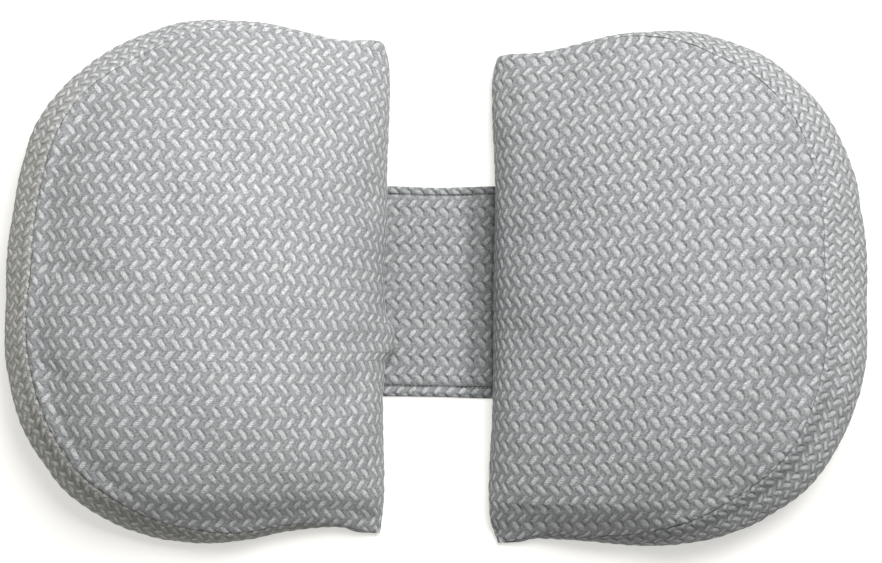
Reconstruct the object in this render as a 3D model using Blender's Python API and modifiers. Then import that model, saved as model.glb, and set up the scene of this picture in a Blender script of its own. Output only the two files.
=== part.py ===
"""Side-sleeper body pillow: two D-shaped wedge cushions and the flat strap that bridges them.

Metres, +Z up. The pillow lies on the plane z = 0 with the straight edges of the cushions facing
each other across x = 0. Each cushion is one filled solid: a sloping crowned top panel, a boxing
strip that bulges round the D and runs out at both inner corners, and a flat underside with a
shallow bed where the strap passes beneath it.

A point on a cushion is first written as (out, along): how far it lies out from the cushion's
straight edge, and how far along that edge it lies from the middle, both in metres.
"""

import math

import bmesh
import bpy
from mathutils import Matrix, Vector

COLLECTION = "body_pillow"
CUTTER_COLLECTION = "body_pillow_cutters"

# Heights of a cushion over the surface it lies on.
CORNER_HEIGHT = 0.013  # upper seam at the inner corners, where the strip runs out
SEAM_POWER = 0.6  # under 1, the upper seam climbs fastest next to the corners
CROWN_POWER = 2.8  # over 2, the panel is flatter in the middle and rounder at the seam

# Sideways shape of the strip and of the fold: how far they lie inside the widest line.
STRIP_BULGE_LEVEL = 0.42  # share of the strip's height at which it is widest
FOLD_BULGE_LEVEL = 0.27  # the same for the fold along the straight edge
CORNER_INSET = 0.004  # upper seam at the inner corners
FOLD_INSET = 0.016  # top of the fold
FOOT_INSET = 0.013  # lower seam, tucked under
CORNER_POWER = 4  # the higher, the nearer to a corner the fold turns into the strip
SPINE_OUT = 0.42  # insets head for a spine at this share of the cushion's width,
SPINE_ALONG = 0.35  # and at this share of the point's own distance along

# Cage of a cushion.
RING_SHARES = (0, 0.17, 0.34, 0.50, 0.65, 0.78, 0.89, 0.965, 1)
STRIP_LEVELS = (0, 0.2, 0.42, 0.65, 0.87, 1)
SEAM_PINCH = 0.0022  # the upper seam is drawn in by this much
PINCH_RUN = 0.17  # share of the cushion's width over which that sets in from a corner
SEAM_CREASE = 0.9

# Bearings round a cushion from the middle of its straight edge, in degrees: 0 points straight
# out, and +90 along the edge towards +y.
BEARINGS = (-90, -80, -70, -60, -50, -40, -30, -15, 0, 15, 30, 40, 50, 60, 70, 80, 90)
INSET_BEARINGS = (-90, -65, -40, 0, 40, 65, 90)
# Places along the straight edge, as shares of the way from its middle to a corner.
EDGE_SHARES = (-1, -0.8, -0.5, -0.25, 0, 0.2, 0.45, 0.75, 1)

CUSHIONS = {
    "left_cushion": {
        "side": -1,
        "edge_x": -0.0390,
        "middle_y": 0.0016,
        "lean": 0.0022,  # the straight edge's +y end lies this much further to +x
        "outer_height": 0.070,  # upper seam where the D is furthest out
        "crown": 0.072,  # how far the filling lifts the panel over its seam
        "fold_dip": 0.050,  # how much less it lifts it at the straight edge,
        "fold_run": 0.070,  # and over what distance that dies away
        "corner_crease": 0.4,  # how sharp the inner corners are, from 0 to 1
        # How far the straight edge waves towards the other cushion at each of EDGE_SHARES.
        "edge_wave": (0, 0.0016, 0.0002, 0.0020, -0.0003, 0.0016, 0, 0.0015, 0),
        # Distance of the widest line at each of BEARINGS.
        "reach": (
            0.197, 0.196, 0.209, 0.238, 0.265, 0.2865, 0.299, 0.3025, 0.2935,
            0.297, 0.297, 0.283, 0.264, 0.236, 0.211, 0.193, 0.191,
        ),
        # How far the upper seam lies inside it at each of INSET_BEARINGS.
        "seam_inset": (0.004, 0.006, 0.020, 0.027, 0.018, 0.004, 0.004),
    },
    "right_cushion": {
        "side": 1,
        "edge_x": 0.0445,
        "middle_y": -0.0039,
        "lean": 0.0012,
        "outer_height": 0.085,
        "crown": 0.060,
        "fold_dip": 0.040,
        "fold_run": 0.100,
        "corner_crease": 0.0,
        "edge_wave": (0, 0.0020, -0.0006, -0.0009, -0.0009, -0.0014, -0.0019, 0.0008, 0),
        "reach": (
            0.202, 0.1985, 0.2125, 0.234, 0.259, 0.2795, 0.2935, 0.297, 0.290,
            0.294, 0.292, 0.2805, 0.260, 0.233, 0.205, 0.189, 0.185,
        ),
        "seam_inset": (0.004, 0.007, 0.030, 0.041, 0.028, 0.005, 0.004),
    },
}

# The strap: two layers of the cushion cloth, turned out and topstitched along both long edges.
STRAP_X = (-0.1110, 0.1160)  # it runs on under both cushions
STRAP_Y = (-0.0909, 0.0761)
STRAP_THICK = 0.0040
STRAP_GROOVE = 0.0018  # thickness left along the topstitching
STITCH_INSET = 0.0065  # topstitching inside the strap's edge
# Places along the strap, and how far its two long edges wave there in y.
STRAP_WAVE_X = (STRAP_X[0], -0.040, 0.002, 0.045, STRAP_X[1])
LOW_EDGE_WAVE = (0, 0, -0.0005, -0.0018, -0.0018)
HIGH_EDGE_WAVE = (0, 0.0003, -0.0011, 0, 0)
STRAP_LENGTH_STEPS = 16
# Across the strap, from an edge inwards: distance from the edge, share of the full thickness.
STRAP_SECTION = (
    (0.0000, 0.40),
    (0.0012, 0.86),
    (0.0033, 0.98),
    (0.0052, 0.84),
    (STITCH_INSET, STRAP_GROOVE / STRAP_THICK),
    (0.0080, 0.80),
    (0.0110, 0.97),
    (0.0300, 1.00),
)
BED_GAP = 0.0003  # between the strap and the bed pressed into the cushions

CLOTH_GREY = (0.40, 0.41, 0.41, 1.0)
STRAP_GREY = (0.37, 0.38, 0.385, 1.0)
CLOTH_ROUGHNESS = 0.92


def remove_everything():
    for obj in list(bpy.data.objects):
        bpy.data.objects.remove(obj, do_unlink=True)


def new_collection(name):
    collection = bpy.data.collections.new(name)
    bpy.context.scene.collection.children.link(collection)
    return collection


def cloth_material(name, colour):
    material = bpy.data.materials.new(name)
    material.use_nodes = True
    shader = material.node_tree.nodes["Principled BSDF"]
    shader.inputs["Base Color"].default_value = colour
    shader.inputs["Roughness"].default_value = CLOTH_ROUGHNESS
    shader.inputs["Metallic"].default_value = 0.0
    return material


def add_object(name, bm, collection, material=None):
    bmesh.ops.recalc_face_normals(bm, faces=bm.faces)
    mesh = bpy.data.meshes.new(name)
    bm.to_mesh(mesh)
    bm.free()
    mesh.shade_smooth()
    if material:
        mesh.materials.append(material)
    obj = bpy.data.objects.new(name, mesh)
    collection.objects.link(obj)
    return obj


def sliced_box(cuts_x, cuts_y, cuts_z):
    """A box sliced by planes at the given places; the first and last of each are its sides."""
    low = Vector((cuts_x[0], cuts_y[0], cuts_z[0]))
    high = Vector((cuts_x[-1], cuts_y[-1], cuts_z[-1]))
    bm = bmesh.new()
    size = high - low
    placing = Matrix.Translation((low + high) / 2) @ Matrix.Diagonal((*size, 1))
    bmesh.ops.create_cube(bm, size=1, matrix=placing)
    for axis, cuts in enumerate((cuts_x, cuts_y, cuts_z)):
        normal = Vector((0, 0, 0))
        normal[axis] = 1
        for cut in cuts[1:-1]:
            everything = bm.verts[:] + bm.edges[:] + bm.faces[:]
            bmesh.ops.bisect_plane(bm, geom=everything, plane_co=normal * cut, plane_no=normal)
    return bm


def evenly(start, end, steps):
    return [start + (end - start) * i / steps for i in range(steps + 1)]


def read_smoothly(places, values, at):
    """The value at a place on the smooth curve through a table's points."""
    at = min(max(at, places[0]), places[-1])
    i = max(k for k in range(len(places) - 1) if places[k] <= at)
    share = (at - places[i]) / (places[i + 1] - places[i])

    def slope(k):
        before, after = max(k - 1, 0), min(k + 1, len(places) - 1)
        return (values[after] - values[before]) / (places[after] - places[before])

    run = places[i + 1] - places[i]
    rise = values[i + 1] - values[i]
    start, end = slope(i) * run, slope(i + 1) * run
    return (
        values[i]
        + share * start
        + share**2 * (3 * rise - 2 * start - end)
        + share**3 * (start + end - 2 * rise)
    )


class Cushion:
    """The shape of one cushion, in (out, along, up)."""

    def __init__(self, **sizes):
        vars(self).update(sizes)
        self.width = read_smoothly(BEARINGS, self.reach, 0)

    def widest(self, u, v):
        """The widest line at a point of the cage's rim."""
        if u == 0:
            wave = read_smoothly(EDGE_SHARES, self.edge_wave, v)
            return Vector((-wave, abs(v) * (self.reach[-1] if v > 0 else -self.reach[0])))
        bearing = 45 * v / u if u >= abs(v) else math.copysign(90 - 45 * u, v)
        reach = read_smoothly(BEARINGS, self.reach, bearing)
        turn = math.radians(bearing)
        return Vector((reach * math.cos(turn), reach * math.sin(turn)))

    def top_height(self, out, ring_share):
        """Of the top panel, a distance out and at a share of the way to its seam."""
        out_share = min(max(out, 0) / self.width, 1)
        seam = CORNER_HEIGHT + (self.outer_height - CORNER_HEIGHT) * out_share**SEAM_POWER
        crown = self.crown - self.fold_dip * math.exp(-out / self.fold_run)
        return seam + crown * (1 - ring_share**CROWN_POWER)

    def upper_inset(self, u, v, widest):
        """How far the upper seam, or the top of the fold, lies inside the widest line."""
        if u == 0:
            return CORNER_INSET + (FOLD_INSET - CORNER_INSET) * (1 - abs(v) ** CORNER_POWER)
        bearing = math.degrees(math.atan2(widest.y, widest.x))
        return read_smoothly(INSET_BEARINGS, self.seam_inset, bearing)

    def side_point(self, u, v, level):
        """On the strip or on the fold, from its foot (level 0) to its upper edge (level 1)."""
        widest = self.widest(u, v)
        out_share = max(widest.x, 0) / self.width
        upper = self.upper_inset(u, v, widest)
        corner_share = abs(v) if u == 0 else 1
        height = self.top_height(max(widest.x, upper * (1 - corner_share)), corner_share)
        bulge = STRIP_BULGE_LEVEL
        bulge += (FOLD_BULGE_LEVEL - STRIP_BULGE_LEVEL) * (1 - corner_share**CORNER_POWER)
        if level > bulge:
            inset = upper * ((level - bulge) / (1 - bulge)) ** 2
        else:
            inset = FOOT_INSET * ((bulge - level) / bulge) ** 2
        if level == 1:
            pinch = SEAM_PINCH * corner_share**CORNER_POWER * min(out_share / PINCH_RUN, 1)
            inset += pinch
            height -= pinch
        spine = Vector((SPINE_OUT * self.width, SPINE_ALONG * widest.y))
        place = widest + (spine - widest).normalized() * inset
        return Vector((place.x, place.y, height * level))

    def face_point(self, u, v, ring_share, level):
        """On the top panel (level 1) or on the underside (level 0)."""
        ring = max(u, abs(v))
        middle = self.side_point(0, 0, level)
        if ring == 0:
            return middle
        rim = self.side_point(u / ring, v / ring, level)
        place = middle.lerp(rim, ring_share)
        place.z = self.top_height(place.x, ring_share) if level else 0
        return place

    def to_world(self, point):
        lean = self.lean * point.y / self.reach[-1]
        x = self.edge_x + self.side * point.x + lean
        return Vector((x, self.middle_y + point.y, point.z))


def step_of(value, steps):
    return round(value * steps)


def add_cushion(name, shape, collection, material, bed):
    """A sliced box whose top and bottom become panels and whose sides become strip and fold."""
    steps = len(RING_SHARES) - 1
    layers = len(STRIP_LEVELS) - 1
    bm = sliced_box(evenly(0, 1, steps), evenly(-1, 1, 2 * steps), evenly(0, 1, layers))
    crease = bm.edges.layers.float.new("crease_edge")
    places = {}
    seams = set()
    corners = set()
    for vert in bm.verts:
        out_step, along_step = step_of(vert.co.x, steps), step_of(vert.co.y, steps)
        layer = step_of(vert.co.z, layers)
        ring_step = max(out_step, abs(along_step))
        u, v = out_step / steps, along_step / steps
        if out_step == 0 or ring_step == steps:
            places[vert] = shape.side_point(u, v, STRIP_LEVELS[layer])
            if ring_step == steps and layer in (0, layers):
                seams.add(vert)
            if out_step == 0 and ring_step == steps:
                corners.add(vert)
        else:
            ring_share = RING_SHARES[ring_step]
            places[vert] = shape.face_point(u, v, ring_share, STRIP_LEVELS[layer])
    for edge in bm.edges:
        level_edge = edge.verts[0].co.z == edge.verts[1].co.z
        if level_edge and seams.issuperset(edge.verts):
            edge[crease] = SEAM_CREASE
        elif corners.issuperset(edge.verts):
            edge[crease] = shape.corner_crease
    for vert, place in places.items():
        vert.co = shape.to_world(place)
    obj = add_object(name, bm, collection, material)
    smooth = obj.modifiers.new("soften", "SUBSURF")
    smooth.levels = 1
    smooth.render_levels = 1
    cut = obj.modifiers.new("bed for the strap", "BOOLEAN")
    cut.operation = "DIFFERENCE"
    cut.object = bed
    return obj


def strap_sections():
    """(y, share of the full thickness) across the whole strap, edge to edge."""
    low, high = STRAP_Y
    inwards = [(low + distance, share) for distance, share in STRAP_SECTION]
    outwards = [(high - distance, share) for distance, share in reversed(STRAP_SECTION)]
    return inwards + [((low + high) / 2, 1.0)] + outwards


def add_strap(collection, material):
    sections = strap_sections()
    share_at = {round(y, 5): share for y, share in sections}
    lengths = evenly(*STRAP_X, STRAP_LENGTH_STEPS)
    bm = sliced_box(lengths, [y for y, _ in sections], (0, STRAP_THICK))
    for vert in bm.verts:
        if vert.co.z > 0:
            vert.co.z = STRAP_THICK * share_at[round(vert.co.y, 5)]
        low_wave = read_smoothly(STRAP_WAVE_X, LOW_EDGE_WAVE, vert.co.x)
        high_wave = read_smoothly(STRAP_WAVE_X, HIGH_EDGE_WAVE, vert.co.x)
        across = (vert.co.y - STRAP_Y[0]) / (STRAP_Y[1] - STRAP_Y[0])
        vert.co.y += low_wave + (high_wave - low_wave) * across
    return add_object("bridge_strap", bm, collection, material)


def add_bed_cutter(collection):
    """The strap's outer size and a small gap, cut out of both cushions' undersides."""
    depth = STRAP_THICK + BED_GAP
    cuts_x = [STRAP_X[0] - BED_GAP, STRAP_X[1] + BED_GAP]
    low = STRAP_Y[0] + min(LOW_EDGE_WAVE) - BED_GAP
    high = STRAP_Y[1] + max(HIGH_EDGE_WAVE) + BED_GAP
    cuts_y = [low, high]
    cutter = add_object("strap_bed", sliced_box(cuts_x, cuts_y, (-depth, depth)), collection)
    cutter.hide_render = True
    cutter.display_type = "WIRE"
    return cutter


def main():
    remove_everything()
    parts = new_collection(COLLECTION)
    cutters = new_collection(CUTTER_COLLECTION)
    cutters.hide_render = True
    cloth = cloth_material("cushion_cloth", CLOTH_GREY)
    strap_cloth = cloth_material("strap_cloth", STRAP_GREY)
    bed = add_bed_cutter(cutters)
    add_strap(parts, strap_cloth)
    for name, sizes in CUSHIONS.items():
        add_cushion(name, Cushion(**sizes), parts, cloth, bed)


main()
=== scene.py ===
"""Side-sleeper body pillow: the sewn covers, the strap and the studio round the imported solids.

Metres, +Z up. Each cushion is sewn from three pieces of a raised herringbone cloth: a panel that
goes over the top and folds down the straight inner edge, a strip round the D, and an underside.
Every piece is first laid out flat. A point of a layout is written (across, along), and the cloth
carries its own coordinates in repeats of the weave, so that the raised threads can be formed in
the mesh and drawn in the material from the same chart.
"""

import math

import bmesh
import bpy
import numpy as np
from bpy.props import FloatProperty, FloatVectorProperty, PointerProperty
from mathutils import Euler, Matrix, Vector
from mathutils.geometry import delaunay_2d_cdt
from mathutils.kdtree import KDTree


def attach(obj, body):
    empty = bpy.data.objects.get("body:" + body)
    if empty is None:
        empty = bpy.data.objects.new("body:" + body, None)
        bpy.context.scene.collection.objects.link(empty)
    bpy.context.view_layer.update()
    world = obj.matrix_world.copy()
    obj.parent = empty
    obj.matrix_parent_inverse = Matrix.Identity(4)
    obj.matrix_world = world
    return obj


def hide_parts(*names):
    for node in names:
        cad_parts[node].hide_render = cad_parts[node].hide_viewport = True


bl_info = {
    "name": "Body pillow",
    "version": (1, 0, 0),
    "blender": (4, 5, 0),
    "location": "View3D > Sidebar > Pillow",
    "description": "Two wedge cushions in raised herringbone cloth, joined by a topstitched strap",
    "category": "Object",
}

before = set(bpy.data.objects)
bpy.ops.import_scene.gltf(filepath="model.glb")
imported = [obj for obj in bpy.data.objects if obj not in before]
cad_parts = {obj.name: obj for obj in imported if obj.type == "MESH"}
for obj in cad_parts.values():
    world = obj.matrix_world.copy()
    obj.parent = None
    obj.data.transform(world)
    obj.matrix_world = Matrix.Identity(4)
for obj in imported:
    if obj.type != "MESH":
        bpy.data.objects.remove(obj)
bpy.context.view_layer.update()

# ---------------------------------------------------------------- form of the cushions

CORNER_HEIGHT = 0.013  # upper seam at the inner corners, where the strip runs out
SEAM_POWER = 0.6  # how soon the upper seam rises on its way out
CROWN_POWER = 2.8  # how flat the top stays before it falls to the seam
STRIP_BULGE_LEVEL = 0.42  # share of the strip's height at which it is widest
FOLD_BULGE_LEVEL = 0.27
CORNER_INSET = 0.004
FOLD_INSET = 0.016  # top of the fold, inside its widest line
FOOT_INSET = 0.013  # lower seam, tucked under
CORNER_POWER = 4  # how late along the edge the fold turns into the corner
FOLD_END_POWER = 8  # how late its section turns into the strip's
CORNER_TURN = 0.87  # share of the straight edge beyond which its corners turn in
CORNER_BEARINGS = (70, 20)  # degrees at which that starts on the round side, and its run
TOP_END = 1.25  # the top is carried on this many times as far as its seam
FOLD_HANDLE = 0.42  # handles of the fold's curve above its widest line, and below it
FOOT_HANDLE = 0.5
SPINE_OUT = 0.42  # seams lie inside the widest line in the direction of a spine
SPINE_ALONG = 0.35
SPINE_RUN = 15  # degrees from the straight edge over which they turn into that direction

# Bearings round a cushion from the middle of its straight edge, in degrees from straight out.
BEARINGS = (-90, -80, -70, -60, -50, -40, -30, -15, 0, 15, 30, 40, 50, 60, 70, 80, 90)
INSET_BEARINGS = (-90, -65, -40, 0, 40, 65, 90)
EDGE_SHARES = (-1, -0.8, -0.5, -0.25, 0, 0.2, 0.45, 0.75, 1)
# Distances out from and along the straight edge for the tables of how the cloth lies.
CLOTH_OUT = (-0.060, 0.0, 0.020, 0.040, 0.060, 0.090, 0.126, 0.162, 0.200, 0.240, 0.300)
CLOTH_ALONG = (-0.200, -0.150, -0.125, -0.090, -0.055, 0.0, 0.055, 0.090, 0.125, 0.150, 0.200)

CUSHIONS = {
    "left_cushion": {
        "side": -1,
        "puff": 0.40,  # how full the leaning threads are, 0 to 1
        "tone": 1.0,
        "edge_x": -0.0390,  # middle of the straight edge
        "middle_y": 0.0016,
        "lean": 0.0022,  # how far the straight edge's +y end lies towards +x
        "outer_height": 0.070,  # upper seam, furthest out
        "crown": 0.072,  # rise of the top over its seam
        "fold_dip": 0.050,  # loss of that rise at the fold, and how far out it fades
        "fold_run": 0.070,
        # Waves of the straight edge, at each of EDGE_SHARES.
        "edge_wave": (0, 0.0016, 0.0002, 0.0018, 0.0004, 0.0022, 0.0008, 0.0016, 0),
        # From the middle of the straight edge to the outline, at each of BEARINGS.
        "reach": (
            0.1979, 0.1968, 0.2098, 0.2375, 0.2659, 0.2858, 0.2971, 0.3014,
            0.2937, 0.2985, 0.2974, 0.2825, 0.264, 0.2366, 0.2096, 0.1928, 0.1896,
        ),
        "corner_round": (0.002, 0.0045),  # how far the edge turns in at its -y and +y corner
        "fold_bump": (-0.0475, 0.0068, 0.0150),  # along, size and half length of a full place
        "roll": (0.0130, 0.24),  # drop of the near edge, and how far out it reaches
        # Bearings between which the upper seam shows as a dark line of painted shade, and how much.
        "open_seams": ((-68, 12, 0.45), (14, 45, 0.6)),
        # Upper seam inside the outline, at each of INSET_BEARINGS.
        "seam_inset": (0.004, 0.006, 0.020, 0.027, 0.024, 0.006, 0.004),
        # Length of one repeat on the pulled cloth, in mm, at each of CLOTH_OUT and CLOTH_ALONG.
        "repeat_out": (9.93, 9.93, 10.39, 10.05, 9.68, 9.88, 10.33, 10.58, 11.23, 11.63, 11.64),
        "repeat_along": (
            14.6, 17.77, 17.35, 16.49, 16.42, 16.70, 16.39, 16.93, 17.73, 17.69, 17.64,
        ),
        # Rise of the rows towards +y going out, in mm, at each of CLOTH_OUT.
        "row_rise": (-1.6, 0.0, 0.6, 0.9, 1.3, 1.5, 1.6, 2.1, 2.6, 3.0, 4.0),
        "rows_drawn_in": (0.035, 0.10),  # at the straight edge, -y end and +y end
        # Drift of the columns towards +x, in mm, at each of CLOTH_ALONG.
        "column_drift": (15.2, 8.8, 6.5, 5.2, 4.0, 0.0, -1.7, -2.0, -0.7, 1.5, 6.6),
        "phase": (0.90, 0.12),  # start of the weave, in repeats
    },
    "right_cushion": {
        "side": 1,
        "puff": 1.0,
        # the same cloth as the left cushion's, drawn darker as painted shade
        "tone": 0.875,
        "edge_x": 0.0445,
        "middle_y": -0.0039,
        "lean": 0.0012,
        "outer_height": 0.085,
        "crown": 0.060,
        "fold_dip": 0.040,
        "fold_run": 0.100,
        "edge_wave": (-0.0007, 0.0019, -0.0001, -0.0007, -0.0004, -0.0012, -0.0017, 0.0003, 0),
        "reach": (
            0.1998, 0.2002, 0.2123, 0.2333, 0.2578, 0.2793, 0.2907, 0.2945,
            0.2886, 0.2929, 0.2899, 0.2793, 0.2578, 0.2307, 0.2025, 0.1879, 0.1829,
        ),
        "corner_round": (0.0055, 0.0035),
        "fold_bump": (0.0, 0.0, 0.010),
        "roll": (0.0180, 0.15),
        "open_seams": ((22, 63, 1.0), (-10, 12, 0.5), (-72, -42, 0.7)),
        "seam_inset": (0.004, 0.007, 0.030, 0.041, 0.028, 0.005, 0.004),
        "repeat_out": (9.63, 9.63, 10.47, 10.60, 10.01, 9.62, 9.72, 10.49, 11.17, 11.83, 11.70),
        "repeat_along": (
            13.4, 16.74, 16.57, 16.12, 15.94, 16.03, 15.79, 16.38, 17.19, 17.22, 17.21,
        ),
        "row_rise": (0.4, 0.0, -0.2, 0.0, 0.4, 1.6, 3.9, 6.3, 8.7, 11.4, 13.2),
        "rows_drawn_in": (0.03, 0.02),
        "column_drift": (-8.6, -4.3, -2.3, -1.2, -0.9, 0.0, -1.2, -2.3, -3.8, -6.3, -12.6),
        "phase": (0.67, 0.57),
    },
}
DRAWN_IN_RUN = 0.027  # distance out over which the rows spread to their full width
COLUMN_ORIGIN = 0.1  # distance out at which the columns are counted from zero
DRAWN_IN_ALONG = (-0.05, 0.10)  # where along the edge one end's value turns into the other's
LATTICE_STEP = 0.001  # of a panel's flat layout, going out
PANEL_LATTICE = 400  # its points along
STRIP_LATTICE = (721, 81)  # points round and up a strip's layout
UNDER_LATTICE_STEP = 0.004
FOLD_ROOM = 0.095  # length of the layout down the fold
ROOM = 0.030  # what a layout has to spare beyond its piece, going out, and along
ROOM_ALONG = 0.004

STRIP_REPEAT = (0.0099, 0.0147)  # along and up the strip
UNDER_REPEAT = (0.0103, 0.0160)

# Soft places of the filling, in world metres: middle x and y, depth, half length, half width, and
# the turn of the length from +x in degrees. A negative depth is a full place.
HOLLOWS = (
    (-0.229, 0.156, 0.0020, 0.026, 0.016, 40),
    (-0.262, 0.121, 0.0022, 0.024, 0.014, 55),
    (-0.282, -0.089, 0.0020, 0.030, 0.014, 100),
    (-0.141, -0.048, 0.0018, 0.034, 0.026, 0),
    (0.141, 0.126, 0.0020, 0.030, 0.018, 20),
    (0.152, 0.015, 0.0022, 0.026, 0.036, 0),
    (0.148, -0.044, 0.0018, 0.028, 0.022, 0),
    (0.078, -0.178, 0.0016, 0.034, 0.0022, 0),  # crease along the near edge
)
# Slow waves of the filling: wave length in x and y, phase, height.
FILLING_WAVES = (
    (0.145, math.inf, 0.6, 0.0007),
    (math.inf, 0.118, 1.9, 0.0006),
    (0.097, 0.131, 3.1, 0.0006),
    (-0.083, 0.074, 0.4, 0.0004),
)
# Where an effect starts, and the distance over which it grows to its full size. From the floor,
# these are heights; from the seam, distances on the cloth.
FILLING_FROM_FLOOR = (0.012, 0.030)
SETTLED_FROM_SEAM = (0.002, 0.012)
SETTLED_FROM_FLOOR = (0.006, 0.012)
RELIEF_FROM_SEAM = (0.0, 0.003)
RELIEF_FROM_FLOOR = (0.002, 0.006)
PULLED_RELIEF = 0.9  # share of the relief that is left on the strip
ROLL_FROM_FLOOR = (0.004, 0.012)
ROLL_FROM_EDGE = (-0.012, 0.022)
ROLL_RUN = 0.031  # the near edge of a cushion rolls down over this distance
ROLL_END_RUN = 0.05  # and the roll runs out over this one
CORNER_RUN = 0.02  # height over which the seam's groove and swelling grow at the corners
CORNER_GROOVE = 0.5  # what the groove loses there
SWELL_AT, SWELL_WIDTH = 0.007, 0.004  # the swelling beside the seam
PUCKER = 0.35  # share by which groove and swelling vary along the seam
PUCKER_TURN = 0.9  # radians per step along the seam
PUCKER_WANDER = (2.0, 5.3)  # radians, and how many times slower
SEAM_SHADE_RUN = 6  # degrees over which the seam's painted shade begins and ends
CAGE_SIZE = 0.007  # mesh size of the simulated cage
CAGE_FRAMES = 20
CAGE_CLOTH = {
    "quality": 5,
    "mass": 0.25,
    "tension_stiffness": 12,
    "compression_stiffness": 12,
    "bending_stiffness": 0.4,
    "shrink_min": -0.025,
    "use_pressure": True,
    "uniform_pressure_force": 4.0,
    "vertex_group_mass": "held",
}
CAGE_HELD = 0.006  # the cage is held this close to its seam and to the floor
CARRY_COUNT, CARRY_BLUR = 5, 0.002  # points of the cage that carry one of the cover
SETTLE_LIMIT = 0.0030  # the simulated filling moves the cover this far at most
SETTLE_ASIDE = 0.3  # share of its sideways movement that is kept

# ---------------------------------------------------------------- form of the strap

STRAP_X = (-0.1110, 0.1160)
STRAP_Y = (-0.0899, 0.0771)
STRAP_WAVE_X = (STRAP_X[0], -0.040, 0.002, 0.045, STRAP_X[1])
EDGE_WAVES = ((0, 0, -0.0005, -0.0018, -0.0018), (0, 0.0003, -0.0011, 0, 0))
STITCH_INSET = 0.0065
LOW_RIM = 1.28  # the rim on the -y side is this much wider
STRAP_REPEAT = (0.0098, 0.0148)  # along x and y
STRAP_PUFF = 1.3
STRAP_TONE = 0.80
STRAP_START = 0.002  # x at which its repeats are counted from zero
STRAP_RELIEF = ((-0.062, 0.010), (0.066, -0.010))  # in x: its relief is left off under the cushions
STRAP_SEAM_SHADE = 0.9  # how much the painted shade along its topstitching shows
FAR_GAP = 20.0  # mm from a seam, where there is none
BODY_FROM_EDGE = (0.008, 0.006)  # its faint waves lie between the rims
CONTACT_FROM = (0.0180, 0.013)  # in x: where the right cushion's shade on it starts
BED_MARGIN = 0.0012  # the cushions' undersides give way to the strap, and a little beside it
BED_RUN = 0.008
BED_DEPTH = 0.0046
BED_HEIGHT = 0.03  # height on a cushion at which this has faded out
# Across the strap, from an edge inwards: distance from the edge, height of its upper face.
STRAP_SECTION = (
    (0, 0.0016), (0.0008, 0.0029), (0.0022, 0.0039), (0.0040, 0.0039), (0.0055, 0.0030),
    (0.0065, 0.0017), (0.0075, 0.0028), (0.0095, 0.0036), (0.0130, 0.0040),
)
RIM_WIDTH = STRAP_SECTION[-1][0]
RIM_STEPS = 14
FLAT_EDGE = 0.0004  # the strap has no relief this close to its edges
# Faint waves of the strap's cloth: wave length in x and y, phase, height.
STRAP_WAVES = (
    (0.300, 0.0290, 0.4, 0.00016),
    (-0.140, 0.0480, 1.2, 0.00020),
    (0.090, -0.0610, 2.6, 0.00014),
)
STITCH_SHARE = 0.78  # of the pitch that shows as thread
STITCH_RADIUS = 0.00032
STITCH_END = 0.35  # thickness of a stitch's ends, as a share of its middle
STITCH_UP = (0.0017, 0.0004)  # height of its ends, and rise of its middle
STITCH_RINGS, STITCH_SIDES = 7, 6
STITCH_MARGIN = 0.003  # from the strap's ends
STITCH_SHIFT = 0.3  # of the far row against the near one, in stitches
STITCH_COLOUR = (0.20, 0.20, 0.205)

# ---------------------------------------------------------------- the raised herringbone

REPEAT = (0.0103, 0.0164)  # across and along
CLOTH_MAP = "cloth"
SEAM_GAP = "seam gap"
# how strongly the seam's painted shade shows
SEAM_SHADE = "seam shade"
PULLED = "pulled flat"
CONTACT = "contact shade"  # where the strap runs in under the right cushion
BAKE_MAP = "OFBake"
BAKE_SIZE = 0.80  # metres of cloth across the unit square of the bake map
BAKE_PLACES = {"panel": (0.01, 0.01), "under": (0.59, 0.01), "strip": (0.01, 0.62)}
WEAVE = "raised herringbone"
# The two raised threads of one repeat: the middle in shares of the repeat, the turn from the row in
# degrees, length and width in mm, how far the thread stands proud, how light it is, the length of
# its yarn's twist in mm, and how dark the painted shade in the hollow beside it is. The puffed
# values are added as far as the cloth is full, and the bow is how far a full thread bulges aside,
# in mm.
THREADS = {
    "upright": {
        "middle": (0.0, 0.0), "turn": 51, "length": 10.2, "width": 4.4, "proud": 0.75,
        "light": 0.92, "twist": 1.7, "hollow": 0.35,
        "puffed width": -0.2, "bow": 0.0, "puffed light": 0.0, "puffed hollow": 0.10,
    },
    "leaning": {
        "middle": (0.42, 0.5), "turn": -53, "length": 11.2, "width": 3.5, "proud": 1.0,
        "light": 0.94, "twist": 1.9, "hollow": 0.32,
        "puffed width": 2.3, "bow": 0.8, "puffed light": -0.16, "puffed hollow": 0.43,
    },
}
ROUND_END = 2.4  # how blunt a thread's ends are
DOME_POWER = 0.8  # how square its section is
MESH_COLUMNS = 7  # columns and rows of the mesh in one repeat
MESH_ROWS = 10
SEAM_STEP = 0.00147  # mesh steps along a seam
FINE_BEARINGS = 3601  # bearings from which its length is measured
NET_MARGIN = 0.55  # free room between an outline and the net inside it, in cells
UNDER_COARSER = 3  # the underside's cells are this many times larger
NUDGE = 1e-9  # keeps the net's lines off the outline's own points
BLOCK = 4000  # points handled at a time
CORNER_STEPS = 8  # mesh steps down the cover's inner corners


# ---------------------------------------------------------------- curves and running sums


def read_smoothly(places, values, at):
    """Values on the smooth curve through a table's points."""
    places, values = np.asarray(places, float), np.asarray(values, float)
    at = np.clip(np.asarray(at, float), places[0], places[-1])
    i = np.clip(np.searchsorted(places, at, side="right") - 1, 0, len(places) - 2)
    before = np.maximum(np.arange(len(places)) - 1, 0)
    after = np.minimum(np.arange(len(places)) + 1, len(places) - 1)
    slope = (values[after] - values[before]) / (places[after] - places[before])
    run = places[i + 1] - places[i]
    share = (at - places[i]) / run
    rise = values[i + 1] - values[i]
    start, end = slope[i] * run, slope[i + 1] * run
    return (
        values[i]
        + share * start
        + share**2 * (3 * rise - 2 * start - end)
        + share**3 * (start + end - 2 * rise)
    )


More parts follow.
